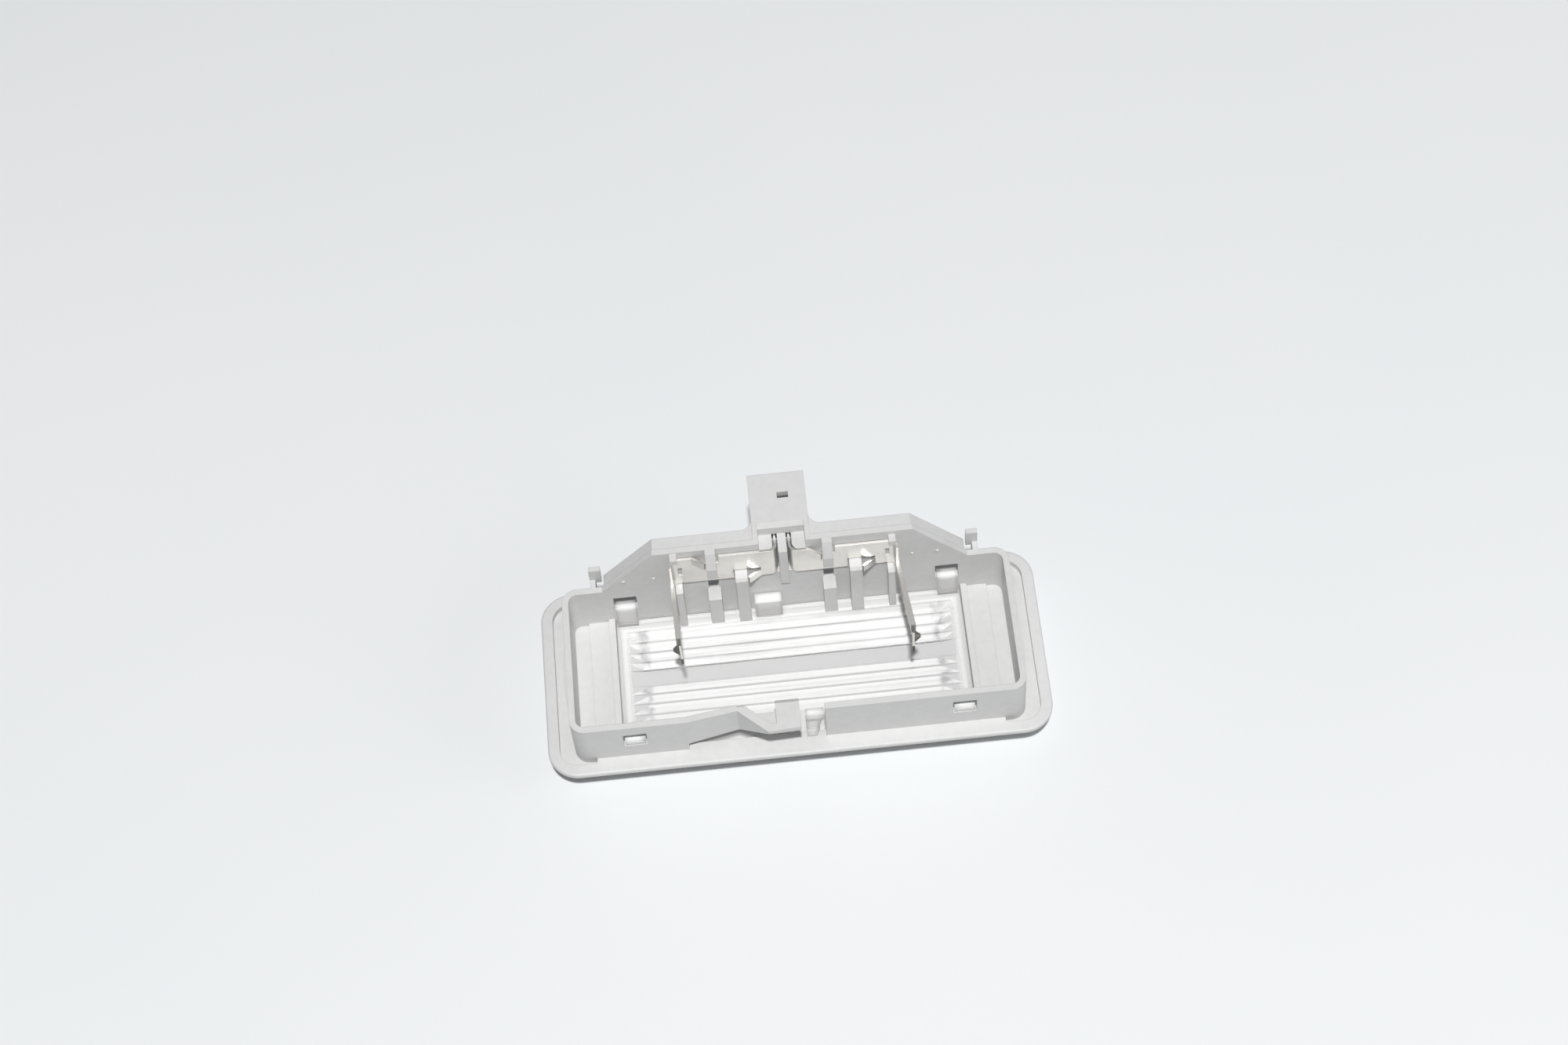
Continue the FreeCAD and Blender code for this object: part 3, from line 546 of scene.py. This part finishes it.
class LampStage(bpy.types.PropertyGroup):
    """Table, light and camera."""

    table_size: length("Table size", "Side of the square table top", 8.0)
    table_drop: length("Table drop", "Gap between the lit face and the table", 0.08 * MM)
    lens_mm: camera_length("Focal length", "Focal length of the camera", 69.01)
    sensor_mm: camera_length("Sensor width", "Width of the camera's sensor", 36.0)
    azimuth: angle("Azimuth", "Turn of the camera about the upright", -0.579)
    elevation: angle("Elevation", "Height of the camera above the table", 58.752)
    roll: angle("Roll", "Turn of the camera about its own axis", 5.306)
    distance: length("Distance", "From the camera to the point it looks at", 0.52855)
    target: point("Target", "Point that the camera looks at", (0.000818, 0.026811, 0.009035))
    key_power: watts("Key light", "Power of the soft box beside the camera", 20.4)
    key_size: length("Key size", "Side of the soft box beside the camera", 0.06)
    key_place: point("Key place", "Middle of the soft box beside the camera", (0.0138, -0.5331, 1.4385))
    fill_power: watts("Fill light", "Power of the weak soft box at the right", 1.6)
    fill_size: length("Fill size", "Side of the weak soft box at the right", 0.6)
    fill_place: point("Fill place", "Middle of the weak soft box at the right", (0.95, -0.3, 0.45))
    room: tone("Room", "Colour of the light from all round", (0.86, 0.885, 0.9))
    sky: share("Sky", "Strength of the light from all round", 0.13)
    mirrored_sky: share("Mirrored sky", "Strength of the room that shiny surfaces mirror", 0.4)


class LAMP_OT_body(bpy.types.Operator):
    """Finish the moulded body"""

    bl_idname = "lamp.body"
    bl_label = "Moulded body"

    def execute(self, context):
        dress("housing", nylon_finish(context.scene.lamp_looks))
        return {"FINISHED"}


class LAMP_OT_lens(bpy.types.Operator):
    """Finish the clear lens"""

    bl_idname = "lamp.lens"
    bl_label = "Clear lens"

    def execute(self, context):
        dress("lens", lens_finish(context.scene.lamp_looks, context.scene.lamp_frost))
        return {"FINISHED"}


class LAMP_OT_contacts(bpy.types.Operator):
    """Finish the two spring contacts"""

    bl_idname = "lamp.contacts"
    bl_label = "Spring contacts"

    def execute(self, context):
        material = strip_finish(context.scene.lamp_looks)
        for node in ("contact_left", "contact_right"):
            dress(node, material)
        return {"FINISHED"}


class LAMP_OT_pips(bpy.types.Operator):
    """Add the pips on the inside of the rear wall"""

    bl_idname = "lamp.pips"
    bl_label = "Wall pips"

    # Inner face of the rear wall, and the pips' places along and up it in millimetres
    wall_y = 11.8 * MM
    places = ((-22.3, 19.8), (-27.5, 19.7), (21.9, 19.5), (26.2, 19.6))

    def execute(self, context):
        marks = context.scene.lamp_marks
        centres = [(x * MM, self.wall_y, z * MM) for x, z in self.places]
        points, quads = domes(centres, (0, -1, 0), marks.pip_radius, marks.pip_height, marks.pip_height)
        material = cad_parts["housing"].data.materials[0]
        mesh_piece("wall_pips", points, quads, material)
        return {"FINISHED"}


class LAMP_OT_stage(bpy.types.Operator):
    """Add the table, the light and the camera"""

    bl_idname = "lamp.stage"
    bl_label = "Stage"

    def execute(self, context):
        scene = context.scene
        stage = scene.lamp_stage
        self.table(scene, stage)
        self.sky(scene, stage)
        self.soft_box(scene, "key_light", stage.key_place, stage.key_size, stage.key_power)
        self.soft_box(scene, "fill_light", stage.fill_place, stage.fill_size, stage.fill_power)
        self.camera(scene, stage)
        scene.view_settings.view_transform = "Standard"
        return {"FINISHED"}

    def table(self, scene, stage):
        half = stage.table_size / 2
        drop = -stage.table_drop
        corners = [(-half, -half, drop), (half, -half, drop), (half, half, drop), (-half, half, drop)]
        mesh = bpy.data.meshes.new("table")
        mesh.from_pydata(corners, [], [(0, 1, 2, 3)])
        mesh.materials.append(table_finish(scene.lamp_looks))
        table = bpy.data.objects.new("table", mesh)
        scene.collection.objects.link(table)

    def sky(self, scene, stage):
        scene.world = bpy.data.worlds.new("pale_room")
        scene.world.use_nodes = True
        f = Finish(scene.world.node_tree)
        path = f.node("ShaderNodeLightPath").outputs
        seen = Value(path["Is Camera Ray"]) + Value(path["Is Transmission Ray"])
        mirrored = Value(path["Is Glossy Ray"])
        strength = stage.sky + seen.clamp() * (1.0 - stage.sky)
        strength = strength + mirrored * (stage.mirrored_sky - stage.sky)
        room = f.node("ShaderNodeBackground", None, {"Color": colour(stage.room), "Strength": strength})
        f.node("ShaderNodeOutputWorld", None, {"Surface": room.outputs[0]})

    def soft_box(self, scene, name, place, size, power):
        light = bpy.data.lights.new(name, "AREA")
        light.size = size
        light.energy = power
        box = bpy.data.objects.new(name, light)
        box.location = place
        box.rotation_euler = (-Vector(place)).to_track_quat("-Z", "Y").to_euler()
        scene.collection.objects.link(box)

    def camera(self, scene, stage):
        a, e, r = stage.azimuth, stage.elevation, stage.roll
        back = Vector((math.sin(a) * math.cos(e), -math.cos(a) * math.cos(e), math.sin(e)))
        level = Vector((math.cos(a), math.sin(a), 0.0))
        upright = back.cross(level)
        right = math.cos(r) * level - math.sin(r) * upright
        up = math.sin(r) * level + math.cos(r) * upright
        data = bpy.data.cameras.new("camera")
        data.sensor_fit = "HORIZONTAL"
        data.sensor_width = stage.sensor_mm
        data.lens = stage.lens_mm
        data.clip_start = CAMERA_NEAR
        data.clip_end = CAMERA_FAR
        camera = bpy.data.objects.new("camera", data)
        turn = Matrix((right, up, back)).transposed().to_4x4()
        camera.matrix_world = Matrix.Translation(Vector(stage.target) + back * stage.distance) @ turn
        scene.collection.objects.link(camera)
        scene.camera = camera


STEPS = (LAMP_OT_body, LAMP_OT_lens, LAMP_OT_contacts, LAMP_OT_pips, LAMP_OT_stage)


class LAMP_PT_panel(bpy.types.Panel):
    """Lists the steps that finish and stage the lamp"""

    bl_label = "Interior Light"
    bl_idname = "LAMP_PT_panel"
    bl_space_type = "VIEW_3D"
    bl_region_type = "UI"
    bl_category = "Interior Light"

    def draw(self, context):
        for step in STEPS:
            self.layout.operator(step.bl_idname)


GROUPS = {
    "lamp_looks": LampLooks,
    "lamp_frost": LampFrostAndHighlight,
    "lamp_marks": LampMarks,
    "lamp_stage": LampStage,
}


def register():
    """Registers the property groups, the steps and the panel."""
    for name, group in GROUPS.items():
        bpy.utils.register_class(group)
        setattr(bpy.types.Scene, name, PointerProperty(type=group))
    for step in (*STEPS, LAMP_PT_panel):
        bpy.utils.register_class(step)


def unregister():
    """Takes everything that register added away again."""
    for step in reversed((*STEPS, LAMP_PT_panel)):
        bpy.utils.unregister_class(step)
    for name, group in GROUPS.items():
        delattr(bpy.types.Scene, name)
        bpy.utils.unregister_class(group)


def main():
    """Runs every step in order."""
    register()
    bpy.ops.lamp.body()
    bpy.ops.lamp.lens()
    bpy.ops.lamp.contacts()
    bpy.ops.lamp.pips()
    bpy.ops.lamp.stage()


if __name__ == "__main__":
    main()
